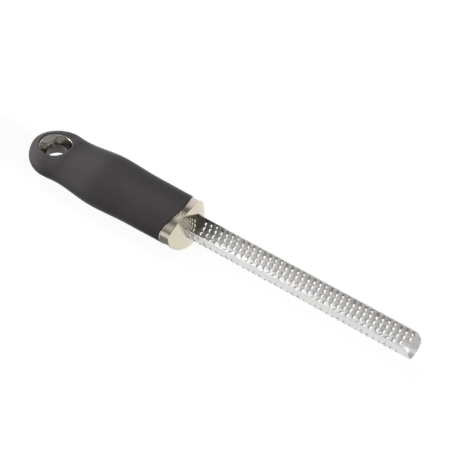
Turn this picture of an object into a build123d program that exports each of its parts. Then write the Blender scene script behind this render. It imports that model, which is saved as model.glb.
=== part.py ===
from build123d import *
from math import ceil, cos, pi, sin, sqrt
import os

# A rasp zester: a long half-round blade of thin perforated steel, open side up,
# set in a rounded grip with a plated front cap and a plated hanging ring.
# X runs from the grip's rear end to the blade's tip, Y across and Z up. All lengths
# are millimetres. Places are measured along X from the grip's rear end, and heights
# from the grip's middle plane, until the finished pieces are set on their rest plane.

# Overall
overall_length = 309.2
overrun = 2.0  # how far a cutting body runs past what it cuts
section_step = 5.0  # spacing of the sections that the grip is drawn through

# Grip outline: each station is a widest or a narrowest place
knob_place = 22.2
knob_width = 41.8
knob_thick = 21.5
neck_place = 33.2
neck_width = 39.6
neck_thick = 24.0
belly_place = 65.2
belly_width = 44.6
belly_thick = 30.2
waist_place = 96.2
waist_width = 41.6
waist_thick = 29.4
front_place = 124.2
front_width = 40.8
front_thick = 29.8
rest_depth = 14.6  # depth of the two flats that the grip lies on
rear_fullness_share = 0.6  # under 1 keeps the knob thick towards its rim

# Layers of the grip
sleeve_wall = 1.8
layer_gap = 0.3

# Seam between the sleeve and the front cap: an arc, seen from the side
seam_side_place = 122.8
seam_top_place = 129.0

# Front cap
nose_place = 137.9
nose_drop = 7.0  # the dome's crown lies this far below the middle plane
nose_cross_radius = 38.0
nose_upright_radius = 58.0
nose_wall = 2.6
panel_depth = 0.4
panel_rim = 0.7
panel_land = 6.4

# Hanging ring: two funnels that meet in a short round land
ring_place = 19.1
ring_rim_length = 24.8
ring_rim_width = 21.2
ring_land_radius = 7.4
ring_land_length = 4.0
ring_wall = 1.2

# Blade section: a half round with upright sides. Radii are to the middle of the sheet.
sheet = 0.4
trough_radius = 7.85
trough_bottom = -6.5
trough_top = 6.2
blade_root_place = 126.7
tip_corner_back = 5.5
tip_corner_drop = 9.0
slot_gap = 0.2

# Tang: a narrow strip of the same sheet that runs back into the core
tang_place = 74.0
tang_width = 9.0
pin_radius = 1.5
pin_gap = 0.1
pin_spacing = 26.0
pin_front_place = 112.0
pin_length = 11.0

# Etched holes, in columns that climb the section by a quarter of a pitch each
column_first_place = 140.8
column_pitch = 4.34
column_count = 38
column_slant_share = 0.11
tooth_pitch = 3.68
tooth_start = 3.28
tooth_step_share = 0.25
tooth_reach = 12.9  # furthest hole from the middle, along the sheet
hole_span = 3.0
hole_back = 0.9
hole_front = 0.8
tip_hole_radius = 2.4
tip_hole_place = 302.8
tip_hole_margin = 3.2

trough_centre = trough_bottom + trough_radius
quarter_arc = trough_radius * pi / 2


def eased(start, end, share):
    """A value that leaves start and reaches end without a kink."""
    return start + (end - start) * (3 - 2 * share) * share**2


def grip_solid(inset):
    """The grip's smooth outer form, drawn in by inset all round."""
    stations = (
        (knob_place, knob_width, knob_thick),
        (neck_place, neck_width, neck_thick),
        (belly_place, belly_width, belly_thick),
        (waist_place, waist_width, waist_thick),
        (front_place, front_width, front_thick),
        (nose_place + 3 * overrun, front_width, front_thick),
    )
    sizes = []
    steps = ceil(knob_place * pi / 2 / section_step)
    for k in range(1, steps):
        turn = pi / 2 * k / steps
        along = inset + (knob_place - inset) * (1 - cos(turn))
        half_thick = (knob_thick / 2 - inset) * sin(turn) ** rear_fullness_share
        sizes.append((along, (knob_width / 2 - inset) * sin(turn), half_thick))
    for (start, width, thick), (end, next_width, next_thick) in zip(stations, stations[1:]):
        steps = ceil((end - start) / section_step)
        for k in range(steps):
            share = k / steps
            half_width = eased(width, next_width, share) / 2 - inset
            half_thick = eased(thick, next_thick, share) / 2 - inset
            sizes.append((start + (end - start) * share, half_width, half_thick))
    sizes.append((end, next_width / 2 - inset, next_thick / 2 - inset))
    rings = [Plane.YZ.offset(place) * Ellipse(wide, deep) for place, wide, deep in sizes]
    return loft([Vertex(inset, 0, 0)] + rings)


def block(start, end, width, low, high):
    """A plain block from start to end along X, centred across."""
    return Pos((start + end) / 2, 0, (low + high) / 2) * Box(end - start, width, high - low)


def behind_seam(shift):
    """All that lies behind the seam, which stands forward at the top and the bottom."""
    rise = front_thick / 2
    sag = seam_top_place - seam_side_place
    radius = (rise**2 + sag**2) / (2 * sag)
    middle = seam_side_place + radius + shift
    rear = block(-overrun, middle, knob_width + belly_width, -radius, radius)
    return rear - Pos(middle, 0, 0) * Rot(90, 0, 0) * Cylinder(radius, knob_width + belly_width)


def beyond_nose(shift):
    """All that lies in front of the cap's dome, whose wall is moved back by shift."""
    half = front_width
    middle = nose_place - nose_upright_radius
    cross = sqrt(nose_cross_radius**2 - (front_width / 2 + overrun) ** 2)
    side = nose_upright_radius - nose_cross_radius + cross
    edge = front_width / 2 + overrun
    outline = Polyline((0, edge), (0, -edge), (side, -edge))
    outline += ThreePointArc((side, -edge), (nose_upright_radius, 0), (side, edge))
    outline += Line((side, edge), (0, edge))
    barrel = Pos(middle - shift, 0, -nose_drop) * revolve(make_face(outline), Axis.Y)
    return block(seam_side_place, nose_place + 5 * overrun, 2 * edge, -half, half) - barrel


def rect_at(width, low, high):
    """A rectangle on a section plane, centred across."""
    return Pos(0, (low + high) / 2) * Rectangle(width, high - low)


def channel(start, end, spare):
    """A length of the blade's section, with its wall grown by spare on both faces."""
    outer = trough_radius + sheet / 2 + spare
    inner = trough_radius - sheet / 2 - spare
    top = trough_top + spare
    wall = Pos(0, trough_centre) * Circle(outer) + rect_at(2 * outer, trough_centre, top)
    hollow = Pos(0, trough_centre) * Circle(inner)
    hollow += rect_at(2 * inner, trough_centre, trough_centre + 2 * trough_radius)
    wall -= hollow + rect_at(4 * outer, top, trough_centre + 3 * trough_radius)
    return extrude(Plane.YZ.offset(start) * wall, end - start)


def tang(spare):
    """The strip behind the blade's root, as wide as the tang and on the same curve."""
    width = tang_width + 2 * spare
    strip = channel(tang_place - spare, blade_root_place + overrun, spare)
    low = trough_bottom - sheet / 2 - spare - overrun
    return strip & block(0, overall_length, width, low, trough_centre)


def sheet_plane(place, arc):
    """The plane on the middle of the sheet at an arc length from its lowest line."""
    side = 1 if arc > 0 else -1
    turn = min(abs(arc), quarter_arc) / trough_radius
    climb = max(abs(arc) - quarter_arc, 0)
    across = side * trough_radius * sin(turn)
    height = trough_centre - trough_radius * cos(turn) + climb
    normal = (0, side * sin(turn), -cos(turn))
    return Plane(origin=(place, across, height), x_dir=(1, 0, 0), z_dir=normal)


def hole_places():
    """Place and arc length of every etched hole."""
    turns = ceil(2 * tooth_reach / tooth_pitch)
    for column in range(column_count):
        climb = (tooth_start + tooth_pitch * tooth_step_share * column) % tooth_pitch
        for row in range(-turns, turns):
            arc = climb + tooth_pitch * row
            place = column_first_place + column_pitch * column + column_slant_share * arc
            near_tip_hole = abs(arc) < tip_hole_radius + tip_hole_margin
            if abs(arc) > tooth_reach or (near_tip_hole and column == column_count - 1):
                continue
            yield place, arc


def rasp_blade():
    """The etched channel with its tang."""
    body = channel(blade_root_place, overall_length, 0) + tang(0)
    half = hole_span / 2
    outline = ThreePointArc((0, -half), (-hole_back, 0), (0, half))
    outline += ThreePointArc((0, half), (hole_front, 0), (0, -half))
    hole = make_face(outline)
    cutters = []
    for place, arc in hole_places():
        cutters.append(extrude(sheet_plane(place, arc) * hole, sheet * 2, both=True))
    cutters.append(
        extrude(sheet_plane(tip_hole_place, 0) * Circle(tip_hole_radius), sheet * 2, both=True)
    )
    for place in pin_places():
        cutters.append(Pos(place, 0, trough_bottom) * Cylinder(pin_radius, 4 * sheet))
    back = overall_length - tip_corner_back
    low = trough_top - tip_corner_drop
    corner = block(back, overall_length + overrun, 4 * trough_radius, low, trough_top + overrun)
    curve = Plane.XZ.offset(-2 * trough_radius) * Pos(back, low)
    corner -= extrude(curve * Ellipse(tip_corner_back, tip_corner_drop), 4 * trough_radius)
    return body - cutters - corner


def pin_places():
    """Places of the two pins along the tang."""
    return pin_front_place - pin_spacing, pin_front_place


def tang_pins():
    """Two round pins that stand in the core and pass through the tang."""
    pin = Cylinder(pin_radius - pin_gap, pin_length, align=(Align.CENTER, Align.CENTER, Align.MAX))
    return Compound(children=[Pos(place, 0, 0) * pin for place in pin_places()])


def ring_funnels(spare):
    """Both funnels and the land between them as one solid, grown by spare."""
    level = neck_thick / 2 + overrun
    rim_level = knob_thick / 2
    land = ring_land_length / 2
    growth = (level - land) / (rim_level - land)
    half_length = ring_land_radius + (ring_rim_length / 2 - ring_land_radius) * growth + spare
    half_width = ring_land_radius + (ring_rim_width / 2 - ring_land_radius) * growth + spare
    waist = Circle(ring_land_radius + spare)
    form = extrude(Plane.XY.offset(-land) * waist, ring_land_length)
    for side in (1, -1):
        mouth = Plane.XY.offset(side * level) * Ellipse(half_length, half_width)
        form += loft([Plane.XY.offset(side * land) * waist, mouth])
    return Pos(ring_place, 0, 0) * form


def front_cap_panels(skin):
    """Shallow panels either side of a plain land along the top and the bottom."""
    floor = grip_solid(panel_depth)
    band = skin - floor - behind_seam(layer_gap + panel_rim) - beyond_nose(panel_rim)
    return band - block(seam_side_place, nose_place, panel_land, -belly_thick, belly_thick)


def build_pieces():
    """Every piece in place, before it is set on the rest plane."""
    skin = grip_solid(0)
    inner = grip_solid(sleeve_wall)
    heart = grip_solid(sleeve_wall + layer_gap)
    under = block(-overrun, overall_length, 2 * belly_width, -belly_thick, -rest_depth)
    shape = skin - under

    sleeve = (shape & behind_seam(0)) - inner - ring_funnels(ring_wall + layer_gap)
    ring = (shape & ring_funnels(ring_wall)) - ring_funnels(0)

    shell = shape - behind_seam(layer_gap) - beyond_nose(0)
    cap = shell - (inner & (shape - beyond_nose(nose_wall)))
    cap -= front_cap_panels(skin)
    cap -= channel(seam_side_place, nose_place + overrun, slot_gap)

    core = heart - beyond_nose(nose_wall + layer_gap) - ring_funnels(ring_wall + layer_gap)
    core -= channel(blade_root_place - slot_gap, nose_place, slot_gap) + tang(slot_gap)
    for place in pin_places():
        hole = Cylinder(pin_radius, pin_length, align=(Align.CENTER, Align.CENTER, Align.MAX))
        core -= Pos(place, 0, 0) * hole
    lower = core & block(0, overall_length, 2 * belly_width, -belly_thick, 0)
    upper = core & block(0, overall_length, 2 * belly_width, 0, belly_thick)

    return {
        "soft_grip": sleeve,
        "hang_ring": ring,
        "front_cap": cap,
        "core_lower": lower,
        "core_upper": upper,
        "tang_pins": tang_pins(),
        "rasp_blade": rasp_blade(),
    }


os.makedirs("parts", exist_ok=True)
for name, piece in build_pieces().items():
    placed = Pos(-overall_length / 2, 0, rest_depth) * piece
    export_step(placed, f"parts/{name}.step")
    print(name, round(placed.volume), len(placed.solids()))
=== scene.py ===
# %% [markdown]
# # A rasp zester, from its packed frame to a finished picture
# The frame holds every piece at its real size. This lesson keeps that frame, draws the four
# pieces that show again as fine surfaces worked out with numpy, and gives each piece a finish
# that is built from nodes. Everything stands in the frame's own axes: X runs from the grip to
# the blade's tip, and Z points up through the blade's open side.

# %% load the frame
from math import atan, pi, radians

import bmesh
import bpy
import numpy as np
from mathutils import Matrix, Vector


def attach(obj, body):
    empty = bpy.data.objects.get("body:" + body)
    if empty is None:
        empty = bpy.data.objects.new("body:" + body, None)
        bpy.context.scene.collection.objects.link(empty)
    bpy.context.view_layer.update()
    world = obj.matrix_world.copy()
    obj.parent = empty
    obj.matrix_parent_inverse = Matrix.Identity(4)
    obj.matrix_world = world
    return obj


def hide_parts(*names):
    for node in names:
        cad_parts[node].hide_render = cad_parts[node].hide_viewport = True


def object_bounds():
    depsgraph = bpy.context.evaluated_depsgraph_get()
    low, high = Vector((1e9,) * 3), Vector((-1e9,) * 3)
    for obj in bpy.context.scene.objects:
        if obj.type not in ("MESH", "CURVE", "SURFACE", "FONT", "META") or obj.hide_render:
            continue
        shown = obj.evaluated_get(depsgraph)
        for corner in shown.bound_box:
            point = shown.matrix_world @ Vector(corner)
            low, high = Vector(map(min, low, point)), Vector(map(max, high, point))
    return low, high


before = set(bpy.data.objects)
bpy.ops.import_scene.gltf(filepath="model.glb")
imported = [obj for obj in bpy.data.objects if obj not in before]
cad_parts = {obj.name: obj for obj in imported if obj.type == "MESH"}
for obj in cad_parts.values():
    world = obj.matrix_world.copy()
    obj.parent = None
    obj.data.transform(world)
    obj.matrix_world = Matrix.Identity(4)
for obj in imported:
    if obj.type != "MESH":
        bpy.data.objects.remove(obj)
bounds_at_start = [list(corner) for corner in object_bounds()]
print("nodes:", sorted(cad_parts))

# %% [markdown]
# ## One ruler for every piece
# The maker's sizes are easiest to read in millimetres, measured along the tool from the
# grip's rear end and up from the grip's middle plane. One function turns such points into the
# frame's metres. The rear end and the rest plane come from the frame itself.

# %% the ruler
mm = 0.001
tiny, hair = 1e-6, 1e-9
rest_depth = 14.6
grip_rear = bounds_at_start[0][0]
rest_plane = bounds_at_start[0][2]


def placed(points):
    """Points in metres, for points given as millimetres along, across and up."""
    return points * mm + np.array([grip_rear, 0.0, rest_plane + rest_depth * mm])


print("rear end at x =", round(grip_rear / mm, 2), "mm")

# %% [markdown]
# ## Surfaces as grids
# The skin of a moulded, cast or rolled piece can be walked in two directions, so it is kept as
# rows and columns of points, and four neighbours make a face. Where two grids meet, their
# border points share the same places and are welded, which closes the seam. A sharp edge is
# eased by a few rows on a simple curve, since no real edge is perfectly sharp.

# %% grids of points
def stacked(along, across, height):
    """One array of points from three arrays of lengths."""
    return np.stack(np.broadcast_arrays(along, across, height), -1).astype(float)


def rounded_edge(start, corner, end, steps=5):
    """Rows of points on the curve (1-t)^2 start + 2t(1-t) corner + t^2 end."""
    share = np.linspace(0, 1, steps + 1)[:, None, None]
    return (1 - share) ** 2 * start + 2 * share * (1 - share) * corner + share**2 * end


class Surface:
    """Collects grids of points, rows first, until they become one mesh."""

    def __init__(self):
        self.points, self.faces, self.count = [], [], 0

    def add(self, points, closed=False):
        """Adds grids shaped (..., rows, columns, values). A closed grid joins its last column
        to its first."""
        rows, columns = points.shape[-3:-1]
        grids = points.reshape(-1, rows, columns, points.shape[-1])
        row, column = np.meshgrid(
            np.arange(rows - 1), np.arange(columns - (not closed)), indexing="ij"
        )
        beside = (column + 1) % columns
        corners = [row * columns + column, row * columns + beside]
        corners += [(row + 1) * columns + beside, (row + 1) * columns + column]
        quads = np.stack(corners, -1).reshape(-1, 4)
        starts = self.count + rows * columns * np.arange(len(grids))
        self.faces.append((quads[None] + starts[:, None, None]).reshape(-1, 4))
        self.points.append(grids.reshape(-1, points.shape[-1]))
        self.count += grids.shape[0] * rows * columns

    def joined(self):
        """All points and all quads, as two arrays."""
        return np.concatenate(self.points), np.concatenate(self.faces)

    def welded(self, places=4, keys=3):
        """The same with points joined where their first values agree to some decimals."""
        points, faces = self.joined()
        rounded = np.round(points[:, :keys], places) + 0.0
        _, first, same = np.unique(rounded, axis=0, return_index=True, return_inverse=True)
        return points[first], same.reshape(-1)[faces]


trial = Surface()
trial.add(np.zeros((3, 4, 3)), closed=True)
print("a closed grid of 3 rows and 4 columns has", len(trial.faces[0]), "faces")

# %% [markdown]
# ## From points to a piece
# The points go into a mesh as they are. A face that lost a corner in the weld becomes a
# triangle. All faces are then turned the same way, and the one farthest from the middle tells
# which way is out. Smooth shading with sharp edges beyond an angle keeps the formed edges
# crisp without any extra faces.

# %% mesh of a piece
crisp_angle = radians(38)


def mesh_piece(name, points, faces, smooth_angle=crisp_angle, marks=None):
    """A mesh object in the frame's metres, whose faces look outwards and whose edges stay
    sharp beyond an angle. Marks are one number for each point, for its finish."""
    rings = []
    for quad in faces.tolist():
        corners = [c for c, before in zip(quad, quad[-1:] + quad[:-1]) if c != before]
        if len(set(corners)) > 2:
            rings.append(corners)
    mesh = bpy.data.meshes.new(name)
    mesh.from_pydata(placed(points).tolist(), [], rings)
    if marks is not None:
        layer = mesh.attributes.new("mark", "FLOAT", "POINT")
        layer.data.foreach_set("value", np.asarray(marks, np.float32))
    shape = bmesh.new()
    shape.from_mesh(mesh)
    bmesh.ops.recalc_face_normals(shape, faces=shape.faces)
    middle = sum((vert.co for vert in shape.verts), Vector()) / len(shape.verts)
    outer = max(shape.faces, key=lambda face: (face.calc_center_median() - middle).length)
    if outer.normal.dot(outer.calc_center_median() - middle) < 0:
        bmesh.ops.reverse_faces(shape, faces=shape.faces)
    shape.to_mesh(mesh)
    shape.free()
    mesh.polygons.foreach_set("use_smooth", np.ones(len(mesh.polygons), bool))
    mesh.set_sharp_from_angle(angle=smooth_angle)
    piece = bpy.data.objects.new(name, mesh)
    bpy.context.scene.collection.objects.link(piece)
    print(name, "points:", len(mesh.vertices), "faces:", len(mesh.polygons))
    return piece


print("edges stay sharp beyond", round(crisp_angle * 180 / pi), "degrees")

# %% [markdown]
# ## The grip's outline
# The grip swells at the palm, narrows behind it and swells again into a knob. It could be
# sculpted or lofted by eye. It is drawn from six stations instead, each a widest or a
# narrowest place with its measured size, and eases from one to the next. Every cross-section
# is an ellipse. Behind the knob's middle, width and thickness close on the rear end as a
# rounded nose, and flats below keep the tool from rolling.

# %% grip sizes
stations = np.array([
    # place, width, thickness
    (22.2, 41.8, 21.5),
    (33.2, 39.6, 24.0),
    (65.2, 44.6, 30.2),
    (96.2, 41.6, 29.4),
    (124.2, 40.8, 29.8),
    (143.2, 40.8, 29.8),
])
knob_place, neck_place = stations[:2, 0]
front_wide, front_deep = stations[4, 1:] / 2
rear_fullness = 0.6


def half_sizes(place):
    """Half width and half thickness at a place: from station to station along 3t^2 - 2t^3,
    and behind the knob's middle times sin(turn), the thickness times sin(turn)^0.6."""
    place = np.asarray(place, float)
    span = np.searchsorted(stations[:, 0], place, side="right") - 1
    span = np.clip(span, 0, len(stations) - 2)
    start, end = stations[span], stations[span + 1]
    share = np.clip((place - start[..., 0]) / (end[..., 0] - start[..., 0]), 0, 1)
    share = ((3 - 2 * share) * share**2)[..., None]
    wide, deep = np.moveaxis((start + (end - start) * share)[..., 1:] / 2, -1, 0)
    turn = np.arccos(np.clip(1 - place / knob_place, 0, 1))
    rounded = np.where(place < knob_place, np.sin(turn), 1.0)
    return wide * rounded, deep * rounded**rear_fullness


print("half width and thickness at the palm:", *(size.round(2) for size in half_sizes(80.0)))

# %% sections, skin and seam
seam_side, seam_top = 122.8, 129.0


def section(place, turn, inset=0.0):
    """Points of the section at a place, drawn in by an inset and cut by the flat below."""
    wide, deep = half_sizes(place)
    height = np.maximum((deep - inset) * np.sin(turn), inset - rest_depth)
    return stacked(place, (wide - inset) * np.cos(turn), height)


def skin_height(place, across):
    """Height of the skin above a point of the middle plane: deep * sqrt(1 - (y / wide)^2)."""
    wide, deep = half_sizes(place)
    return deep * np.sqrt(np.clip(1 - (across / np.maximum(wide, tiny)) ** 2, 0, 1))


def seam_place(height):
    """The seam seen from the side: an arc that stands forward at the top and bottom."""
    sag = seam_top - seam_side
    radius = (front_deep**2 + sag**2) / (2 * sag)
    return seam_side + radius - np.sqrt(radius**2 - np.asarray(height) ** 2)


print("seam at the side and on top:", seam_place(0.0), seam_place(front_deep).round(1))

# %% [markdown]
# ## The hanging hole
# Two oval funnels narrow to a short round land, the place for a hook. A boolean could cut such
# a hole, but it leaves ragged faces at the rim. Here one formula, grown by a spare amount,
# gives the ring's inside, its outside and the hole in the rubber around it, so the three
# always fit. The upper rim leans towards the grip's end, and the lower funnel opens half as
# far.

# %% funnel formula
ring_place, rim_shift = 19.8, -1.3
ring_rim = (26.0 / 2, 22.2 / 2)
land_radius, land_half, lower_share = 7.4, 1.4, 0.5
ring_wall, layer_gap = 1.2, 0.3
rim_level = stations[0, 2] / 2
rim_rounds = 30


def funnel(turn, height, spare, side=1):
    """Points of the funnel wall: each half axis grows evenly from the land to the rim. The
    lower funnel (side -1) opens less, and its heights are given as if it were the upper."""
    growth = np.maximum(np.abs(height) - land_half, 0) / (rim_level - land_half)
    growth = growth * (1.0 if side > 0 else lower_share)
    long, short = (land_radius + (rim - land_radius) * growth + spare for rim in ring_rim)
    middle = ring_place + rim_shift * growth
    return stacked(middle + long * np.cos(turn), short * np.sin(turn), height)


def funnel_rim(turn, spare, side=1):
    """Height at which the funnel meets the skin, found by stepping halfway again and again."""
    height = np.full(np.shape(turn), rim_level)
    for _ in range(rim_rounds):
        along, across, _ = np.moveaxis(funnel(turn, height, spare, side), -1, 0)
        height = (height + skin_height(along, across)) / 2
    return height


print("rim's height at the rear and at the front:", funnel_rim(np.array([pi, 0.0]), 0.0).round(2))

# %% [markdown]
# ## The rubber sleeve
# On the real tool the sleeve is moulded over the hard core in one shot. A grid that runs along
# and round suits most of it, but not the knob with its hole. So each half of the knob is a fan
# of rays from the hole's rim to the outline, and both parts share their points on the neck.
# The edges at the hole and at the seam are rolled over, as moulded rubber has no knife edge.
# At the hole the rubber reaches over the ring's lip, so that only the funnel shows.

# %% knob
half_round = 48
ray_steps, rear_steps, side_steps = 20, 44, 9
rubber_roll, lip_cover, lip_deep = 0.7, 0.02, 0.55
wall_drops = (4.0, 2.0)


def knob_outline():
    """The knob's outline in plan as one loop: across the neck, then round the rear."""
    neck_turn = np.linspace(0, pi, half_round + 1)
    neck = half_sizes(neck_place)[0] * np.cos(neck_turn)
    rear_turn = np.linspace(0, pi / 2, rear_steps)
    places = knob_place * (1 - np.cos(rear_turn))
    places = np.concatenate([places, np.linspace(knob_place, neck_place, side_steps)[1:]])
    wide = half_sizes(places)[0]
    loop = [np.stack([np.full_like(neck, neck_place), neck], -1)]
    loop.append(np.stack([places[::-1], -wide[::-1]], -1)[1:])
    loop.append(np.stack([places, wide], -1)[1:-1])
    return np.concatenate(loop)


def knob_half(side):
    """One half of the knob: up the hole's wall, over the rolled rim, and out to the outline
    along rays whose points spread by t (2 - t), so they lie closest at the outline."""
    outline = knob_outline()
    spare = ring_wall + layer_gap
    turn = np.arctan2(outline[:, 1] / ring_rim[1], (outline[:, 0] - ring_place) / ring_rim[0])
    rim, outer = funnel_rim(turn, lip_cover, side), funnel_rim(turn, spare, side)
    corner = funnel(turn, rim, lip_cover, side)
    ray = outline - corner[:, :2]
    inner = corner[:, :2] + ray / np.linalg.norm(ray, axis=-1)[:, None] * rubber_roll
    share = np.linspace(0, 1, ray_steps)[:, None, None]
    plan = inner + (outline - inner) * share * (2 - share)
    skin = stacked(plan[..., 0], plan[..., 1], skin_height(plan[..., 0], plan[..., 1]))
    wall = [funnel(turn, outer - drop, spare, side) for drop in (*wall_drops, lip_deep)]
    roll = rounded_edge(funnel(turn, rim - lip_deep, lip_cover, side), corner, skin[0])
    points = np.concatenate([np.stack(wall), roll, skin[1:]])
    points[..., 2] *= side
    return points


print("points on the knob's outline:", len(knob_outline()))

# %% sleeve
body_steps = 90
seam_roll, sleeve_wall = 0.3, 1.8


def sleeve():
    """The sleeve's skin, with both ends turned in."""
    surface = Surface()
    for side in (1, -1):
        surface.add(knob_half(side), closed=True)
    turn = np.linspace(0, 2 * pi, 2 * half_round + 1)[:-1]
    end = seam_place(np.maximum(front_deep * np.sin(turn), -rest_depth))
    start = section(end - seam_roll, turn)
    along = np.linspace(0, 1, body_steps)[:, None]
    body = section(neck_place + (end - seam_roll - neck_place) * along, turn)
    roll = rounded_edge(start, section(end, turn), section(end, turn, seam_roll))
    lining = section(end, turn, sleeve_wall)[None]
    surface.add(np.concatenate([body, roll[1:], lining]), closed=True)
    return mesh_piece("soft_grip_skin", *surface.welded())


grip_skin = sleeve()
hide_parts("soft_grip")
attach(grip_skin, "root")

# %% [markdown]
# ## The hanging ring
# The ring lines the hole with bright metal. A lathe could turn a round one, but this rim is
# oval and follows the knob's curved skin. So it is one closed band of rows: outside wall, a
# narrow lip just under the rubber's edge, the upper funnel, the land, and the same again
# below. The bends at the land are eased a little, because plating rounds them.

# %% ring
ring_columns, funnel_rows = 160, 14
lip_sink = 0.62
lip_shares = (0.45, 0.8)
outer_ease, inner_ease = 0.25, 0.3
bend_above, bend_below = 0.5, 0.3
outside_level, land_level = 0.4, 0.3
lip_steps, throat_steps, bend_steps = 3, 5, 4


def ring_half(side):
    """One half of the ring, from its outside wall over the lip and down the funnel."""
    turn = np.linspace(0, 2 * pi, ring_columns + 1)[:-1]

    def wall(height, spare=0.0):
        return funnel(turn, height, spare, side)

    outer = funnel_rim(turn, ring_wall, side) - lip_sink
    inner = funnel_rim(turn, 0.0, side) - lip_sink
    lip_inner, lip_outer = wall(inner), wall(outer, ring_wall)
    near, far = (lip_inner + (lip_outer - lip_inner) * share for share in lip_shares)
    rows = [wall(outside_level, ring_wall)[None]]
    rows.append(rounded_edge(wall(outer - outer_ease, ring_wall), lip_outer, far, lip_steps))
    start, end = inner - inner_ease, land_half + bend_above
    rows.append(rounded_edge(near, lip_inner, wall(start), throat_steps))
    rows.append(wall(start + (end - start) * np.linspace(0, 1, funnel_rows)[1:, None]))
    land = wall(land_half), wall(land_half - bend_below)
    bend = rounded_edge(rows[-1][-1], *land, bend_steps)
    rows += [bend[1:], wall(land_level)[None]]
    return np.concatenate(rows) * np.array([1, 1, side])


def hanging_ring():
    """The plated ring as a closed band round the hole."""
    upper, lower = ring_half(1), ring_half(-1)
    surface = Surface()
    surface.add(np.concatenate([upper, lower[::-1], upper[:1]]), closed=True)
    return mesh_piece("hang_ring_band", *surface.welded())


ring_band = hanging_ring()
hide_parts("hang_ring")
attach(ring_band, "root")

# %% [markdown]
# ## The front cap
# The cap closes the grip and holds the blade in a U-shaped slot. Its face is a barrel that
# bulges forward. Booleans could cut the slot, but a mirror finish shows every uneven face
# beside such a cut. So the face is drawn as a band of rows that end on the slot's outline,
# and the tongue inside the U is a patch of its own.

# %% face and slot
nose_place, nose_drop = 137.9, 7.0
cross_radius, upright_radius = 38.0, 58.0
sheet, trough_radius, trough_bottom, trough_top, slot_gap = 0.4, 7.85, -6.5, 6.2, 0.2
trough_centre = trough_bottom + trough_radius
slot_outer = trough_radius + sheet / 2 + slot_gap
slot_inner = trough_radius - sheet / 2 - slot_gap
slot_top = trough_top + slot_gap


def dome(across, height):
    """Points of the barrel face: x = middle + sqrt((20 + sqrt(38^2 - y^2))^2 - (z + 7)^2)."""
    girth = upright_radius - cross_radius + np.sqrt(cross_radius**2 - across**2)
    along = nose_place - upright_radius + np.sqrt(girth**2 - (height + nose_drop) ** 2)
    return stacked(along, across, height)


def slot_outline(turn):
    """Where rays from the middle leave the slot's outline: the nearest of the upright sides,
    the level top and the half round below. Also says which of them leave by the top."""
    ray = np.stack([front_wide * np.cos(turn), front_deep * np.sin(turn)], -1)
    with np.errstate(divide="ignore", invalid="ignore"):
        level = np.where(ray[:, 1] > 0, slot_top / ray[:, 1], np.inf)
        upright = slot_outer / np.abs(ray[:, 0])
    square = (ray**2).sum(-1)
    half = -trough_centre * ray[:, 1] / square
    reach = -half + np.sqrt(half**2 - (trough_centre**2 - slot_outer**2) / square)
    upright = np.where(upright * ray[:, 1] < trough_centre, reach, upright)
    return ray * np.minimum(level, upright)[:, None], level <= upright + hair


def slot_tongue(share):
    """Points of the tongue's outline, down one side, round below and up the other."""
    side = slot_top - trough_centre
    travel = share * (2 * side + pi * slot_inner)
    swing = np.clip((travel - side) / slot_inner, 0, pi)
    height = trough_centre - slot_inner * np.sin(swing)
    height += np.maximum(side - travel, 0) + np.maximum(travel - side - pi * slot_inner, 0)
    return np.stack([-slot_inner * np.cos(swing), height], -1)


print("slot's half widths, outside and inside:", round(slot_outer, 2), round(slot_inner, 2))

# %% [markdown]
# ## The cap's skirt
# The skirt runs from the seam to the rim, and two shallow panels leave a plain land between
# them at the top and at the bottom. Columns stand where the shape needs them: evenly round the
# cap, and also at the panels' ends and the slot's corners. Near the land the panels' ends bow
# outwards in a curve. A mark of 1 on the panels' floors lets the finish find them later.

# %% skirt
panel_depth, panel_rim, land_half_width, panel_slope = 0.5, 0.4, 1.9, 0.22
panel_bow, bow_reach, bow_power = 1.1, 1.6, 4
seam_inset = 0.03
quarter_turns, floor_rows = 45, 14


def cap_turns():
    """Turns round the cap: even ones, the panels' edges and the slot's upper corners."""
    land = [land_half_width, land_half_width + panel_slope]
    land = np.arccos(np.array(land) / front_wide)
    corners = [np.arctan2(slot_top / front_deep, across / front_wide)
               for across in (slot_inner, slot_outer)]
    first = np.concatenate([np.linspace(0, pi / 2, quarter_turns), land, corners])
    first = np.unique(np.round(first, 6))
    half = np.concatenate([first, pi - first[-2::-1]])
    return np.concatenate([half, 2 * pi - half[-2:0:-1]])


def panel_floor(turn, skin, low, high, sunk):
    """Rows of a panel's floor from low to high. Near the land they bow by
    (2t - 1)^4 exp(-(distance / 1.6)^2), most at both ends."""
    share = np.linspace(0, 1, floor_rows)[:, None]
    near = np.exp(-(((np.abs(skin[:, 1]) - land_half_width) / bow_reach) ** 2))
    bow = panel_bow * (2 * share - 1) ** bow_power * near / front_wide
    bent = turn - np.sign(skin[:, 1] * skin[:, 2]) * bow
    return section(low + panel_slope + (high - low - 2 * panel_slope) * share, bent, sunk)


print("turns round the cap:", len(cap_turns()))

# %% cap
rim_roll, face_rows, tongue_rows, slot_depth = 0.5, 16, 9, 2.4


def marked(points, mark=0.0):
    """Points with a mark as their last value."""
    mark = np.broadcast_to(mark, points.shape[:-1])
    return np.concatenate([points, mark[..., None]], -1)


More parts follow.
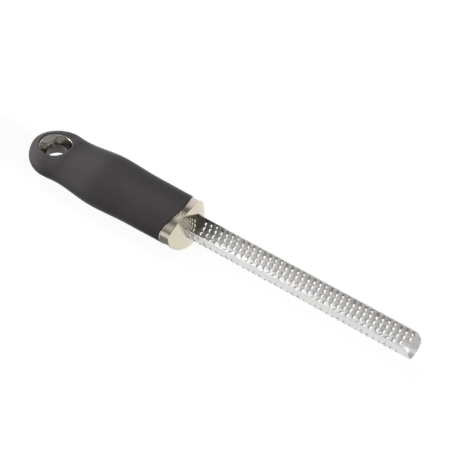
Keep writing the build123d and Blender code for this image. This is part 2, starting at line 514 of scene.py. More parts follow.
def cap_skirt(turn, band):
    """Rows from the lining under the seam, over the panels and the rolled rim, and across
    the face to a band of points on the slot's outline."""
    skin = section(np.full_like(turn, nose_place), turn)
    seam = seam_place(skin[:, 2]) + layer_gap
    rim = dome(skin[:, 1], skin[:, 2])[:, 0]
    low, high = seam + panel_rim, rim - panel_rim
    sunk = np.where(np.abs(skin[:, 1]) > land_half_width + panel_slope / 2, panel_depth, 0.0)
    floor = panel_floor(turn, skin, low, high, sunk)
    inward = skin[:, 1:] * (1 - rim_roll / np.linalg.norm(skin[:, 1:], axis=-1))[:, None]
    start = dome(inward[:, 0], inward[:, 1])
    share = np.linspace(0, 1, face_rows)[1:, None, None]
    face = inward + (band - inward) * share
    return np.concatenate([
        marked(section(seam, turn, sleeve_wall)[None]),
        marked(section(seam, turn, seam_inset)[None]),
        marked(section(low, turn)[None]),
        marked(floor, sunk / panel_depth),
        marked(section(high, turn)[None]),
        marked(rounded_edge(section(rim - rim_roll, turn), section(rim, turn), start)),
        marked(dome(face[..., 0], face[..., 1])),
    ])


def front_cap():
    """The plated cap: skirt and face, the slot's walls, and the tongue between them."""
    turn = cap_turns()
    band, top = slot_outline(turn)
    inner_edge = top & (np.abs(band[:, 0]) < slot_inner + tiny)
    start = int(np.flatnonzero(inner_edge)[-1])
    order = np.roll(np.arange(len(turn)), -start)
    order = order[:len(turn) - inner_edge.sum() + 2]
    back = np.array([slot_depth, 0.0, 0.0])
    outer_wall = dome(*band[order].T)
    tongue_top = band[inner_edge][::-1]
    tongue_end = slot_tongue(np.linspace(0, 1, len(tongue_top)))
    share = np.linspace(0, 1, tongue_rows)[:, None, None]
    tongue = tongue_top + (tongue_end - tongue_top) * share
    inner_wall = dome(*tongue[-1].T)
    surface = Surface()
    surface.add(cap_skirt(turn, band), closed=True)
    surface.add(marked(np.stack([outer_wall, outer_wall - back])))
    surface.add(marked(dome(tongue[..., 0], tongue[..., 1])))
    surface.add(marked(np.stack([inner_wall, inner_wall - back])))
    points, faces = surface.welded()
    return mesh_piece("front_cap_shell", points[:, :3], faces, marks=points[:, 3])


cap_shell = front_cap()
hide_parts("front_cap")
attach(cap_shell, "root")

# %% [markdown]
# ## The blade
# The real blade is etched flat and then formed. Holes cut through a finished channel would
# lean and stretch, so the lesson does it in the maker's order too. The blade starts as a flat
# plan, of place along the tool and arc length from the lowest line, and is then rolled into
# the half-round channel. Teeth sit on a slanted lattice whose columns climb a quarter pitch
# each. Above each column, near the upper edge, the sheet swells outwards in a shallow rib.

# %% blade sizes
overall_length, blade_root = 309.2, 126.7
column_first, column_pitch, column_count, slant = 140.8, 4.34, 38, 0.11
tooth_pitch, tooth_start, tooth_reach, tooth_span = 3.68, 3.28, 12.9, 6
column_climb = tooth_pitch * 0.25
rib_rise, rib_level, rib_reach = 0.5, 13.4, 3.4
corner_back, corner_drop = 5.5, 9.0
quarter_arc = trough_radius * pi / 2
edge_arc = quarter_arc + trough_top - trough_centre


def rolled(plan, lift):
    """Points on the channel, lifted from the middle of the sheet along its outward normal:
    y = (r + lift) sin(s / r), z = centre - (r + lift) cos(s / r), then straight up."""
    place, arc = plan[..., 0], plan[..., 1]
    swing = np.clip(arc, -quarter_arc, quarter_arc) / trough_radius
    climb = np.maximum(np.abs(arc) - quarter_arc, 0)
    radius = trough_radius + lift
    height = trough_centre - radius * np.cos(swing) + climb
    return stacked(place, radius * np.sin(swing), height)


def column_line(column):
    """Place where a column's middle crosses the lowest line."""
    return column_first + column_pitch * column


def tip_place(arc):
    """End of the sheet, with the upper corners cut to a quarter of an ellipse."""
    height = rolled(stacked(0.0, arc, 0.0)[..., :2], 0.0)[..., 2]
    rise = np.clip((height - trough_top + corner_drop) / corner_drop, 0, 1)
    return overall_length - corner_back * (1 - np.sqrt(1 - rise**2))


print("rolled flat, the strip is", round(2 * edge_arc, 1), "mm wide")

# %% points of the plan
def rib_lift(across, arc):
    """Lift of the ribs: a squared cosine along, times (1 - (distance / reach)^2)^2 across."""
    rib = np.cos(2 * pi * (across - column_first) / column_pitch) / 2 + 0.5
    ends = np.clip((across - column_line(-1)) / column_pitch, 0, 1)
    ends = ends * np.clip((column_line(column_count) - across) / column_pitch, 0, 1)
    fade = np.clip(1 - ((np.abs(arc) - rib_level) / rib_reach) ** 2, 0, 1) ** 2
    return rib_rise * rib**2 * ends * fade


def plan_points(across, arc, lift=0.0, thin=1.0):
    """Plan points with their lift and thickness, slanted, and drawn in at the tip's corners."""
    across, arc, lift, thin = np.broadcast_arrays(across, arc, lift, thin)
    place = across + slant * arc
    left = column_line(column_count - 1) - column_pitch / 2 + slant * arc
    drawn = (tip_place(arc) - left) / (overall_length - left)
    place = np.where(place > left, left + (place - left) * drawn, place)
    return np.stack([place, arc, lift + rib_lift(across, arc), thin], -1)


print("the last column stands", round(overall_length - column_line(column_count - 1), 1),
      "mm from the tip")

# %% [markdown]
# ## Teeth
# On the real sheet each hole is etched as a crescent, and its rear edge is then pressed out
# as a cutting lip. A bump texture could fake the lip, but its edge has to catch light and to
# stand out from the side. Here each tooth is one cell of the lattice: rings lead from the
# cell's border to the crescent, and the rings behind the hole carry the lip's ramp.

# %% one tooth
tooth_half, tooth_back, tooth_front, tooth_tip = 1.5, -0.9, 0.4, 0.95
tooth_rise, tooth_ramp, rise_reach = 0.42, 1.25, 1.1
rear_power, ramp_power = 1.2, 1.3
across_steps, rise_steps = 6, 8


def cell_border():
    """A cell's border from the middle of its lower side, round by its forward side."""
    side = np.linspace(-1, 1, across_steps + 1) * column_pitch / 2
    rise = np.linspace(-1, 1, rise_steps + 1) * tooth_pitch / 2
    half = across_steps // 2
    loop = [stacked(side[half:-1], rise[0], 0), stacked(side[-1], rise[:-1], 0)]
    loop += [stacked(side[:0:-1], rise[-1], 0), stacked(side[0], rise[:0:-1], 0)]
    loop.append(stacked(side[:half], rise[0], 0))
    return np.concatenate(loop)[:, :2]


def crescent(count):
    """The opening as a crescent: both edges leave its two tips and bow towards the grip by
    cos(swing)^2 ahead and cos(swing)^1.2 behind."""
    half = count // 2
    swing = np.linspace(-pi / 2, pi / 2, half + 1)[:-1]
    bow = np.cos(swing)
    forward = np.stack([tooth_tip + (tooth_front - tooth_tip) * bow**2, np.sin(swing)], -1)
    rear = tooth_tip + (tooth_back - tooth_tip) * bow**rear_power
    rear = np.stack([rear, -np.sin(swing)], -1)
    return np.concatenate([forward, rear]) * np.array([1.0, tooth_half])


def pressed(across, rise):
    """How far a tooth is pressed out: most at its rear edge, ramping to nothing behind it."""
    bow = np.clip(1 - (rise / (tooth_half * rise_reach)) ** 2, 0, 1)
    open_share = np.sqrt(np.clip(1 - (rise / tooth_half) ** 2, 0, 1))
    edge = tooth_tip + (tooth_back - tooth_tip) * open_share**rear_power
    ramp = np.clip(1 - (edge - across) / tooth_ramp, 0, 1) ** ramp_power
    return tooth_rise * bow * np.where(across < edge + tiny, ramp, 0.0)


print("points round a tooth:", len(cell_border()), "highest lip:",
      pressed(*crescent(len(cell_border())).T).max().round(2), "mm")

# %% all teeth
ring_shares = (0, 0.3, 0.58, 0.82, 1.0)
lip_thin, lip_least = 0.35, 0.1
bare_reach = 5.6


def tooth_columns():
    """Arc lengths of the tooth centres, column by column. The last one leaves room for the
    round hole."""
    columns = []
    for column in range(column_count):
        first = (tooth_start + column_climb * column) % tooth_pitch
        arcs = first + tooth_pitch * np.arange(-tooth_span, tooth_span)
        arcs = arcs[np.abs(arcs) <= tooth_reach]
        if column == column_count - 1:
            arcs = arcs[np.abs(arcs) > bare_reach]
        columns.append(arcs)
    return columns


def teeth(surface, columns):
    """Adds one ringed cell for each tooth, with the lip drawn out thin at its edge."""
    border = cell_border()
    hole = crescent(len(border))
    share = np.array(ring_shares)[:, None, None]
    rings = border + (hole - border) * share
    lift = pressed(rings[..., 0], rings[..., 1])
    thin = np.where((share[..., 0] == 1.0) & (lift > lip_least), lip_thin, 1.0)
    lines = np.repeat(column_line(np.arange(column_count)), [len(arcs) for arcs in columns])
    arcs = np.concatenate(columns)
    across = lines[:, None, None] + rings[..., 0]
    surface.add(plan_points(across, arcs[:, None, None] + rings[..., 1], lift, thin), closed=True)


print("teeth:", sum(len(arcs) for arcs in tooth_columns()))

# %% [markdown]
# ## The plain sheet
# Plain sheet lies above the teeth, before the first column, at the tip with its one round
# hole, and in the tang that the core holds. Its rows are the lattice's own levels, so that
# every point on a border has its partner in the cells beside it.

# %% margins
level_step = tooth_pitch / rise_steps
level_count, edge_gap, level_slack = 60, 0.15, 0.01
root_rows = 15


def sheet_levels():
    """Arc lengths of the rows: the lattice's own, and the two upper edges."""
    level = tooth_start - tooth_pitch / 2 + level_step * np.arange(-level_count, level_count)
    level = level[np.abs(level) < edge_arc - edge_gap]
    return np.concatenate([[-edge_arc], level, [edge_arc]])


def column_sides():
    """Steps across a column, from its rear side to its forward side."""
    return np.linspace(-0.5, 0.5, across_steps + 1) * column_pitch


def margins(surface, columns):
    """Adds the plain sheet above the teeth and behind them."""
    levels = sheet_levels()
    for column, arcs in enumerate(columns):
        low, high = arcs.min() - tooth_pitch / 2, arcs.max() + tooth_pitch / 2
        for rows in (levels[levels < low + level_slack], levels[levels > high - level_slack]):
            surface.add(plan_points(column_line(column) + column_sides(), rows[:, None]))
    first = column_line(0) - column_pitch / 2
    arc = levels[:, None]
    start = blade_root - slant * arc
    surface.add(plan_points(start + (first - start) * np.linspace(0, 1, root_rows), arc))


print("levels across the sheet:", len(sheet_levels()))

# %% tip and tang
tip_hole_place, tip_hole_radius = 302.8, 2.4
tip_margin, margin_steps, end_steps, tip_rings = 3.4, 4, 5, 6
tang_start, tang_half, tang_steps = 74.0, 4.79, 16
pin_places, pin_hole, pin_reach, pin_steps, pin_rings = (86.0, 112.0), 1.5, 4.0, 8, 4


def holed_patch(surface, border, centre, radius, rings):
    """Adds sheet between a border loop and a round hole."""
    away = border - centre
    hole = centre + away / np.linalg.norm(away, axis=-1)[:, None] * radius
    share = np.linspace(0, 1, rings)[:, None, None]
    ring = border + (hole - border) * share
    surface.add(plan_points(ring[..., 0] - slant * ring[..., 1], ring[..., 1]), closed=True)


def box_loop(across, arcs, lean=slant):
    """A loop of plan points round a box that leans with the lattice."""
    loop = [stacked(across[:-1], arcs[0], 0), stacked(across[-1], arcs[:-1], 0)]
    loop += [stacked(across[:0:-1], arcs[-1], 0), stacked(across[0], arcs[:0:-1], 0)]
    loop = np.concatenate(loop)[:, :2]
    loop[:, 0] += lean * loop[:, 1]
    return loop


def tip(surface, columns):
    """Adds the end of the blade: the patch with the round hole and the plain sheet by it."""
    levels = sheet_levels()
    low = columns[-1][columns[-1] < 0].max() + tooth_pitch / 2
    high = columns[-1][columns[-1] > 0].min() - tooth_pitch / 2
    line = column_line(column_count - 1)
    ahead = line + column_pitch / 2 + np.linspace(0, tip_margin, margin_steps + 1)
    inside = levels[(levels > low - level_slack) & (levels < high + level_slack)]
    loop = box_loop(np.concatenate([line + column_sides(), ahead[1:]]), inside)
    holed_patch(surface, loop, np.array([tip_hole_place, 0.0]), tip_hole_radius, tip_rings)
    for rows in (levels[levels < low + level_slack], levels[levels > high - level_slack]):
        surface.add(plan_points(ahead, rows[:, None]))
    arc = levels[:, None]
    last = overall_length - slant * arc
    share = np.linspace(0, 1, end_steps + 1)
    surface.add(plan_points(ahead[-1] + (last - ahead[-1]) * share, arc))


def tang(surface):
    """Adds the narrow strip that runs back into the core, with its two pin holes."""
    arcs = np.linspace(-tang_half, tang_half, tang_steps + 1)
    ends = [tang_start] + [pin + move for pin in pin_places for move in (-pin_reach, pin_reach)]
    for start, end in zip(ends[::2], ends[1::2] + [blade_root]):
        across = np.linspace(start, end, pin_steps + 1)
        surface.add(plan_points(across - slant * arcs[:, None], arcs[:, None]))
    for pin in pin_places:
        across = np.linspace(-pin_reach, pin_reach, pin_steps + 1) + pin
        loop = box_loop(across, arcs, lean=0.0)
        holed_patch(surface, loop, np.array([pin, 0.0]), pin_hole, pin_rings)


print("tang:", 2 * tang_half, "mm wide from", tang_start, "to", blade_root)

# %% [markdown]
# ## Both faces of the sheet
# The plan is rolled twice, half a sheet outwards and half a sheet inwards, and the two faces
# are joined all along their borders, round every hole too. The inner face also keeps a mark
# of painted darkness: painted dark reflections in the hollows of the ribs near the upper
# edges, and painted shade in the corner by the cap, where the grip blocks the light.

# %% blade
# Painted shade by the cap and painted dark reflections in the rib hollows, on the inner face.
root_fade, column_shade, root_shade, column_shade_power = 19.0, 0.8, 0.85, 1.5
sheet_angle = radians(42)


def painted_shade_places(across, arc):
    """Painted darkness on the inside: a cosine^1.5 along each row of columns near the upper
    edges for dark reflections in the rib hollows, and a straight fade away from the cap for the
    grip's shade."""
    column = np.cos(2 * pi * (across - column_first) / column_pitch) / 2 + 0.5
    ends = np.clip(across - column_line(-0.5), 0, 1)
    ends = ends * np.clip(column_line(column_count - 0.5) - across, 0, 1)
    above = np.clip(1 - ((np.abs(arc) - rib_level) / rib_reach) ** 2, 0, 1)
    root = np.clip(1 - (across - nose_place) / root_fade, 0, 1)
    return np.clip(column**column_shade_power * ends * above * column_shade + root * root_shade, 0, 1)


def border_edges(faces):
    """The edges that only one face has, in that face's own direction."""
    edges = np.stack([faces, np.roll(faces, -1, axis=1)], -1).reshape(-1, 2)
    edges = edges[edges[:, 0] != edges[:, 1]]
    _, first, uses = np.unique(np.sort(edges, axis=1), axis=0, return_index=True,
                               return_counts=True)
    return edges[first[uses == 1]]


def blade():
    """The whole blade: the plan rolled as outer and inner face, joined along its borders."""
    surface = Surface()
    columns = tooth_columns()
    teeth(surface, columns)
    margins(surface, columns)
    tip(surface, columns)
    tang(surface)
    plan, faces = surface.welded(places=3, keys=2)
    half = sheet / 2 * plan[:, 3]
    points = np.concatenate([rolled(plan, plan[:, 2] + half), rolled(plan, plan[:, 2] - half)])
    border, count = border_edges(faces), len(plan)
    joins = np.stack([border[:, 1], border[:, 0], border[:, 0] + count, border[:, 1] + count], -1)
    every = np.concatenate([faces, faces[:, ::-1] + count, joins])
    inner_shade = painted_shade_places(plan[:, 0] - slant * plan[:, 1], plan[:, 1])
    return mesh_piece("rasp_blade_sheet", points, every, smooth_angle=sheet_angle,
                      marks=np.concatenate([0 * inner_shade, inner_shade]))


blade_sheet = blade()
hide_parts("rasp_blade")
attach(blade_sheet, "root")

# %% [markdown]
# ## A small language for shaders
# A finish is mostly arithmetic on textures. A wire wraps one socket, so that values can be
# added and multiplied as plain numbers are. A tree makes any node by its type, and a finish is
# the tree of one material, with a few textures measured in millimetres.

# %% wires
class Wire:
    """One output socket of a tree."""

    def __init__(self, tree, socket):
        self.tree, self.socket = tree, socket

    def maths(self, operation, *values):
        """A Math node of the values."""
        return self.tree.node("ShaderNodeMath", values, operation=operation)

    def __add__(self, other):
        return self.maths("ADD", self, other)

    def __sub__(self, other):
        return self.maths("SUBTRACT", self, other)

    def __rsub__(self, other):
        return self.maths("SUBTRACT", other, self)

    def __mul__(self, other):
        return self.maths("MULTIPLY", self, other)

    def __abs__(self):
        return self.maths("ABSOLUTE", self)

    __radd__, __rmul__ = __add__, __mul__

    def larger(self, other):
        """The larger of two values."""
        return self.maths("MAXIMUM", self, other)

    def ramp(self, low, high, kind="LINEAR"):
        """0 below low and 1 above high, with a straight or a soft step between."""
        return self.tree.node("ShaderNodeMapRange", (self, low, high), interpolation_type=kind)

    def between(self, low, high):
        """Low where the value is 0 and high where it is 1, for numbers."""
        return self * (high - low) + low

    def tint(self, dark, light):
        """A colour between two colours."""
        sockets = {0: self, 6: dark, 7: light}
        return self.tree.node("ShaderNodeMix", sockets, out=2, data_type="RGBA")


print("a wire knows:", *(name for name in vars(Wire) if not name.startswith("_")))

# %% trees and finishes
class Tree:
    """The nodes of a material or of the world."""

    def __init__(self, owner):
        owner.use_nodes = True
        self.owner = owner
        self.nodes, self.links = owner.node_tree.nodes, owner.node_tree.links

    def join(self, made, key, value):
        """Puts a wire, a number or a colour on an input."""
        socket = made.inputs[key]
        if isinstance(value, Wire):
            self.links.new(value.socket, socket)
        elif socket.type == "RGBA":
            socket.default_value = (*value, 1.0)
        else:
            socket.default_value = value

    def node(self, kind, inputs=(), out=0, **settings):
        """Any node, as a wire of one output. Its settings are set first, then its inputs, in
        order or, from a dictionary, by number or name."""
        made = self.nodes.new(kind)
        for setting, value in settings.items():
            setattr(made, setting, value)
        inputs = inputs if isinstance(inputs, dict) else dict(enumerate(inputs))
        for key, value in inputs.items():
            self.join(made, key, value)
        return Wire(self, made.outputs[out])

    def show(self, shader, output="Material Output"):
        """Puts a shader on the tree's output."""
        self.join(self.nodes[output], 0, shader)


class Finish(Tree):
    """A material whose Principled shader is fed by wires."""

    def __init__(self, name, **fixed):
        super().__init__(bpy.data.materials.new(name))
        self.shader = self.nodes["Principled BSDF"]
        for socket, value in fixed.items():
            self.join(self.shader, socket.replace("_", " "), value)

    def place(self, stretch=(1.0, 1.0, 1.0)):
        """Object coordinates in millimetres, stretched along the axes."""
        place = self.node("ShaderNodeTexCoord", out="Object")
        scale = tuple(share / mm for share in stretch)
        return self.node("ShaderNodeVectorMath", (place, scale), operation="MULTIPLY")

    def noise(self, size, detail=3.0, roughness=0.55, stretch=(1.0, 1.0, 1.0)):
        """Cloudy noise from 0 to 1, with features of about a size in millimetres."""
        sockets = {"Vector": self.place(stretch), "Scale": 1 / size, "Detail": detail}
        sockets["Roughness"] = roughness
        return self.node("ShaderNodeTexNoise", sockets, out="Fac")

    def cells(self, size):
        """Distance to the nearest of scattered points, in cells of about a size."""
        sockets = {"Vector": self.place(), "Scale": 1 / size}
        return self.node("ShaderNodeTexVoronoi", sockets, out="Distance")

    def axis(self, number):
        """One object coordinate in millimetres."""
        return self.node("ShaderNodeSeparateXYZ", (self.place(),), out=number)

    def attribute(self, name):
        """A value that was stored on the mesh."""
        return self.node("ShaderNodeAttribute", out="Fac", attribute_name=name)

    def feed(self, socket, value):
        """Joins a wire to an input of the shader."""
        self.join(self.shader, socket, value)

    def fed(self, socket):
        """The wire that an input of the shader has."""
        return Wire(self, self.shader.inputs[socket].links[0].from_socket)

    def overlay(self, share, colour):
        """Lays a colour over the base colour, by a share."""
        self.feed("Base Color", share.tint(self.fed("Base Color"), colour))

    def bump(self, height, depth):
        """A bump from a pattern of 0 to 1, times a depth in millimetres."""
        sockets = {"Strength": 1.0, "Distance": 1.0, "Height": height * (depth * mm)}
        self.feed("Normal", self.node("ShaderNodeBump", sockets))


def put_on(piece, finish):
    """Gives a piece its finish."""
    piece.data.materials.clear()
    piece.data.materials.append(finish.owner)
    print(piece.name, "wears", finish.owner.name)


print("a finish knows:", *(name for name in vars(Finish) if not name.startswith("_")))

# %% [markdown]
# ## Soft-touch rubber
# The sleeve is a dark grey elastomer. Its skin is matt with a fine sand grain from the mould,
# and its colour wanders a little where hands have polished it. Plain roughness would leave the
# edges as dark as the middle. A weak sheen gives them the pale light that such rubber shows
# where it turns away, and it follows the surface from any side.

# %% rubber
wear, speck, sand, ripple = 26.0, 0.9, 0.35, 1.6
sand_depth = 0.018
rubber_dark, rubber_light = (0.0090, 0.0066, 0.0072), (0.0132, 0.0100, 0.0108)
rubber = Finish("soft_touch_rubber", Sheen_Weight=0.8, Sheen_Roughness=0.22,
                Sheen_Tint=(0.75, 0.74, 0.72), Specular_IOR_Level=0.2)
handled, specks = rubber.noise(wear, 2.0), rubber.noise(speck, 2.0)
rubber.feed("Base Color", (handled * 0.7 + specks * 0.3).tint(rubber_dark, rubber_light))
rubber.feed("Roughness", handled.between(0.72, 0.58) + specks * 0.06)
rubber.bump(rubber.noise(sand, 2.0) + rubber.noise(ripple, 2.0) * 0.5, sand_depth)
put_on(grip_skin, rubber)

# %% [markdown]
# ## Plated trims
# Cap and ring are die castings under bright nickel. The plating is warm, mirror-like on the
# rims and the face, and a shade darker and softer on the panels' floors. Fine wiping marks
# and a slow waviness from polishing keep it from looking like glass. One function makes both
# platings, since they differ only in tone and wave. Then each gets what is its own: the cap its
# panels, by their mark, and the ring a band of painted shade in the crease above its land,
# placed by its height alone.

# %% plating
cloud_size, wipe_size, wave_size = 9.0, 0.8, 6.0


def plated(name, dark, light, wave):
    """Bright warm plating between two tones, with a bump of a depth in millimetres."""
    finish = Finish(name, Metallic=1.0)
    cloud, wipe = finish.noise(cloud_size), finish.noise(wipe_size, stretch=(0.15, 1.0, 1.0))
    finish.feed("Base Color", (cloud * 0.8 + wipe * 0.2).tint(dark, light))
    finish.feed("Roughness", cloud.between(0.03, 0.07) + wipe * 0.03)
    finish.bump(finish.noise(wave_size, 1.0) + wipe * 0.02, wave)
    return finish


panel_tone, panel_haze = (0.58, 0.52, 0.455), 0.1
cap_plating = plated("warm_nickel", (0.63, 0.585, 0.47), (0.72, 0.67, 0.55), 0.02)
panel = cap_plating.attribute("mark")
cap_plating.overlay(panel, panel_tone)
cap_plating.feed("Roughness", cap_plating.fed("Roughness") + panel * panel_haze)
put_on(cap_shell, cap_plating)

# %% plating of the ring
# Painted shade: a near-black band in the crease just above the land, placed by height.
crease_starts, crease_ends = (0.0, 0.3), (0.8, 1.6)
crease_shade_tone, crease_shade_share = (0.05, 0.04, 0.04), 0.85
ring_plating = plated("ring_nickel", (0.58, 0.545, 0.51), (0.68, 0.645, 0.61), 0.006)
level = ring_plating.axis(2) - (rest_depth + land_half)
crease_shade = level.ramp(*crease_starts, "SMOOTHSTEP") * (1.0 - level.ramp(*crease_ends, "SMOOTHSTEP"))
ring_plating.overlay(crease_shade * crease_shade_share, crease_shade_tone)
put_on(ring_band, ring_plating)

# %% [markdown]
# ## Blade steel
# Thin stainless strip is rolled, etched and pressed. Rolling leaves faint lines along the
# strip and etching leaves it slightly mottled, so both patterns share in its colour, its
# gloss and its bump. The mark that the blade's mesh carries paints shade and dark
# reflections into the steel's colour, by the cap and in the hollows of the ribs.

# %% steel
line_size, mottle_size, grain_size, steel_depth = 0.5, 5.0, 0.25, 0.006
steel_dark, steel_light, painted_shade_tone = (0.65, 0.64, 0.63), (0.77, 0.755, 0.745), (0.20, 0.196, 0.188)
steel = Finish("etched_stainless", Metallic=1.0)
lines = steel.noise(line_size, 2.0, stretch=(0.05, 1.0, 1.0))
mottle, grain = steel.noise(mottle_size, 4.0), steel.noise(grain_size, 2.0)
steel.feed("Base Color", (mottle * 0.6 + lines * 0.4).tint(steel_dark, steel_light))
# Painted shade and dark reflections, laid into the colour by the mark.
steel.overlay(steel.attribute("mark"), painted_shade_tone)
steel.feed("Roughness", mottle.between(0.31, 0.40) + lines * 0.05)
steel.bump(lines + grain * 0.4 + mottle * 0.5, steel_depth)
put_on(blade_sheet, steel)

# %% [markdown]
# ## The hidden pieces
# The two core halves and the pins are the frame's own solids, since nothing shows of them
# until the tool is taken apart. The core is moulded nylon with a dry, faintly pitted skin. The
# pins are ground rod, so their marks run round them.

# %% core and pins
flow_size, pit_size, pit_depth = 14.0, 0.8, 0.03
round_size, round_depth = 0.12, 0.004
nylon = Finish("moulded_nylon")
flow, pits = nylon.noise(flow_size, stretch=(0.3, 1.0, 1.0)), nylon.cells(pit_size)
nylon.feed("Base Color", flow.tint((0.045, 0.045, 0.047), (0.075, 0.074, 0.074)))
nylon.feed("Roughness", flow.between(0.5, 0.68))
nylon.bump(pits * 0.5 + flow, pit_depth)
pin_steel = Finish("ground_rod", Metallic=1.0)
rounds = pin_steel.noise(round_size, 2.0, stretch=(0.2, 0.2, 1.0))
pin_steel.feed("Base Color", rounds.tint((0.45, 0.45, 0.45), (0.62, 0.61, 0.60)))
pin_steel.feed("Roughness", rounds.between(0.25, 0.42))
pin_steel.bump(rounds, round_depth)
for name, finish in (("core_lower", nylon), ("core_upper", nylon), ("tang_pins", pin_steel)):
    put_on(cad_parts[name], finish)

# %% [markdown]
# ## A white that only some rays see
# A catalogue picture is white behind the tool because its paper is lit far brighter than the
# tool is. Here the light stays plain, and the floor and the room answer each ray by its kind
# instead. Camera rays see white, and so do the rays that mirrors and holes send on. The light
# that falls on the tool isn't changed by it.

# %% white by kind of ray
pure_white = (1.0, 1.0, 1.0)
ray_kinds = ("Is Camera Ray", "Is Glossy Ray", "Is Transmission Ray")


def white_share(tree, seen, mirrored):
    """Share of white: seen for camera rays, and mirrored for mirror and see-through rays."""
    camera, mirror, through = (tree.node("ShaderNodeLightPath", out=kind) for kind in ray_kinds)
    return camera * seen + (mirror + through) * mirrored


print("rays told apart:", *ray_kinds)

# %% [markdown]
# ## The floor
# The floor is pale paper and keeps a twentieth of its own look, so that the tool's shadow
# stays on it. Close round the grip it lies in shade, as paper under a real tool does: there it
# is darker, and mirrors find no white in it. One ramp ends the shade at the sides and another
# ahead of the grip, where the blade is open to the light. The larger of the two decides.

# %% floor
floor_reach, floor_seen = 6.0, 0.95
shade_sides, shade_front = (12.0, 30.0), (-28.0, -19.0)
paper_dark, paper_light = (0.12, 0.12, 0.12), (0.9, 0.9, 0.9)
corners = [(-1, -1), (1, -1), (1, 1), (-1, 1)]
corners = [(x * floor_reach, y * floor_reach, rest_plane) for x, y in corners]
floor_mesh = bpy.data.meshes.new("floor")
floor_mesh.from_pydata(corners, [], [(0, 1, 2, 3)])
floor = bpy.data.objects.new("floor", floor_mesh)
bpy.context.scene.collection.objects.link(floor)
paper = Finish("pale_paper", Roughness=0.9)
opening = abs(paper.axis(1)).ramp(*shade_sides).larger(paper.axis(0).ramp(*shade_front))
paper.feed("Base Color", opening.tint(paper_dark, paper_light))
own = Wire(paper, paper.shader.outputs[0])
glow = paper.node("ShaderNodeEmission", (pure_white, 1.0))
share = white_share(paper, floor_seen, opening)
paper.show(paper.node("ShaderNodeMixShader", (share, own, glow)))
floor_mesh.materials.append(paper.owner)
print("floor:", 2 * floor_reach, "m wide, white to camera rays by", floor_seen)

# %% [markdown]
# ## The room
# The world fills the shadows with weak, slightly warm light from every side. Camera and
# mirror rays see it plain white.

# %% room
room_tone, room_strength = (1.0, 0.995, 0.985), 0.5
world = bpy.data.worlds.new("white_room")
bpy.context.scene.world = world
room = Tree(world)
room.nodes.remove(room.nodes["Background"])
dim = room.node("ShaderNodeBackground", (room_tone, room_strength))
white = room.node("ShaderNodeBackground", (pure_white, 1.0))
share = white_share(room, 1.0, 1.0)
room.show(room.node("ShaderNodeMixShader", (share, dim, white)), "World Output")
print("room:", world.name, "at strength", room_strength)

# %% [markdown]
# ## Soft lamps
# Dark rubber only shows its form through broad, soft highlights, so the lamps are large and
# square. Two stand behind the grip, one high and one low, and edge its outline. A faint one in
# front opens the shadow side. None is strong enough to lift a colour above what is written.

# %% lamps
def soft_box(name, place, size, watts):
    """A large soft lamp that looks at the tool."""
    light = bpy.data.lights.new(name, "AREA")
    light.shape, light.size, light.energy = "SQUARE", size, watts
    lamp = bpy.data.objects.new(name, light)
    lamp.location = place
    lamp.rotation_euler = Vector(place).to_track_quat("Z", "Y").to_euler()
    bpy.context.scene.collection.objects.link(lamp)
    print(name, "gives", watts, "W from", size, "m")


soft_box("left_box", (-1.3, 0.4, 1.2), 1.1, 44.0)
soft_box("rear_box", (-1.45, -0.75, 0.12), 0.9, 60.0)
soft_box("front_box", (0.9, -1.3, 0.9), 1.0, 3.0)

# %% [markdown]
# ## A hood for the mirrors
# Bright plating and steel show the studio around them, and a studio has dark and bright parts.
# Black and white cards could stand round the tool, but each would light it and throw a shadow
# too. Instead a hood over the stage carries the tones, each a soft patch in one direction. A
# tone of 1 is white, and the one above it is a lamp that the blade's floor mirrors all along.
# The dark ones give the panels and the funnel their depth.

# %% tones of the hood
hood_tones = np.array([
    # towards x, y, z, spread in degrees, tone
    [-0.52, -0.39, 0.757, 9, 0.02],
    [-0.38, -0.64, 0.66, 13, 0.70],
    [-0.37, 0.53, 0.76, 15, 0.12],
    [-0.37, 0.84, 0.40, 16, 1.00],
    [0.10, 0.97, 0.20, 18, 1.00],
    [-0.85, 0.20, 0.48, 13, 4.60],
    [-0.37, -0.92, 0.10, 18, 0.26],
    [0.00, 0.00, 1.00, 17, 0.62],
    [0.90, 0.00, 0.30, 22, 0.35],
    [0.40, -0.75, 0.50, 20, 0.30],
    [0.45, 0.60, 0.65, 20, 0.40],
])


def hood_tone(towards):
    """Each tone weighs exp(-(angle / spread)^2), and the weights are shared out to one."""
    aims = hood_tones[:, :3] / np.linalg.norm(hood_tones[:, :3], axis=1)[:, None]
    angle = np.degrees(np.arccos(np.clip(towards @ aims.T, -1, 1)))
    weight = np.exp(-(angle / hood_tones[:, 3]) ** 2) + hair
    return (weight * hood_tones[:, 4]).sum(-1) / weight.sum(-1)


print("straight above, the hood's tone is", hood_tone(np.array([0.0, 0.0, 1.0])).round(2))
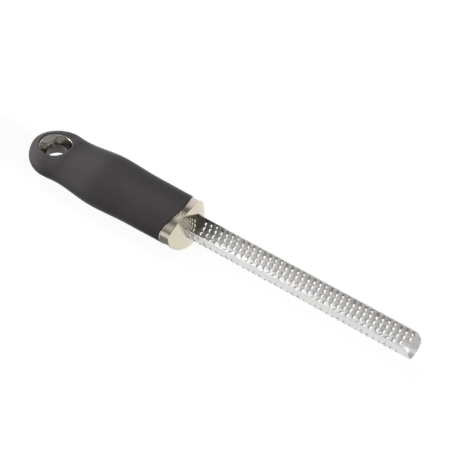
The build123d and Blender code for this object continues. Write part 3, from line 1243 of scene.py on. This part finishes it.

# %% [markdown]
# ## Hanging the hood
# A small grey card joins the hood. It lies on the floor by the cap and is the floor's shade,
# painted for the low strip of the cap that mirrors the floor. Both are one mesh whose points
# carry their tone, and the tone is the colour that they send out. Only mirror rays see them:
# they light nothing, hide nothing and cast no shadow.

# %% hood and card
hood_radius, hood_foot, hood_top = 1.45, radians(7), radians(89.9)
hood_columns, hood_rows = 96, 48
card_shade_tone, card_lift = 0.28, 0.0003
card_along, card_across = (-0.052, -0.0188), (-0.058, -0.008)
turn = np.linspace(0, 2 * pi, hood_columns + 1)[:-1]
rise = np.linspace(hood_foot, hood_top, hood_rows)[:, None]
towards = stacked(np.cos(rise) * np.cos(turn), np.cos(rise) * np.sin(turn), np.sin(rise))
hood = Surface()
hood.add(marked(towards * hood_radius, hood_tone(towards)), closed=True)
# The card is painted floor shade, which only the cap's low strip mirrors.
card = stacked([card_along], np.array(card_across)[:, None], rest_plane + card_lift)
hood.add(marked(card, card_shade_tone))
points, faces = hood.joined()
ceiling_mesh = bpy.data.meshes.new("mirror_hood_and_shade_card")
ceiling_mesh.from_pydata(points[:, :3].tolist(), [], faces.tolist())
tone = ceiling_mesh.attributes.new("tone", "FLOAT", "POINT")
tone.data.foreach_set("value", points[:, 3].astype(np.float32))
ceiling = bpy.data.objects.new("mirror_hood_and_shade_card", ceiling_mesh)
bpy.context.scene.collection.objects.link(ceiling)
for kind in ("camera", "diffuse", "transmission", "volume_scatter", "shadow"):
    setattr(ceiling, "visible_" + kind, False)
hood_glow = Finish("hood_glow_and_painted_shade")
hood_glow.show(hood_glow.node("ShaderNodeEmission", (hood_glow.attribute("tone"), 1.0)))
hood_glow.nodes.remove(hood_glow.shader)
ceiling_mesh.materials.append(hood_glow.owner)
print("hood and card:", len(points), "points, tones", points[:, 3].min().round(2), "to",
      points[:, 3].max().round(2))

# %% [markdown]
# ## The viewpoint
# A model only matches its picture from the right place, and guessing it by eye takes long.
# This viewpoint was solved from the tool itself: the even pitch of the tooth columns fixes the
# distance, and the outline of grip and channel fixes the direction. The lens is a long one, so
# the near end looks hardly larger than the far end.

# %% camera
right_way = np.array([0.8181, 0.5750, 0.0060])
up_way = np.array([-0.4420, 0.6221, 0.6462])
viewpoint = (0.37639, -0.52819, 0.79266)
ways = np.stack([right_way, up_way, np.cross(right_way, up_way)])
ways = ways / np.linalg.norm(ways, axis=1)[:, None]
stand = Matrix.LocRotScale(Vector(viewpoint), Matrix(ways.T.tolist()), None)
lens = bpy.data.cameras.new("viewpoint")
lens.sensor_width, lens.lens = 36.0, 120.18
lens.clip_start, lens.clip_end = 0.05, 50.0
camera = bpy.data.objects.new("viewpoint", lens)
camera.matrix_world = stand
bpy.context.scene.collection.objects.link(camera)
bpy.context.scene.camera = camera
bpy.context.scene.view_settings.view_transform = "Standard"
field = 2 * np.degrees(atan(lens.sensor_width / 2 / lens.lens))
print("camera at", viewpoint, "field", round(field, 2), "degrees")
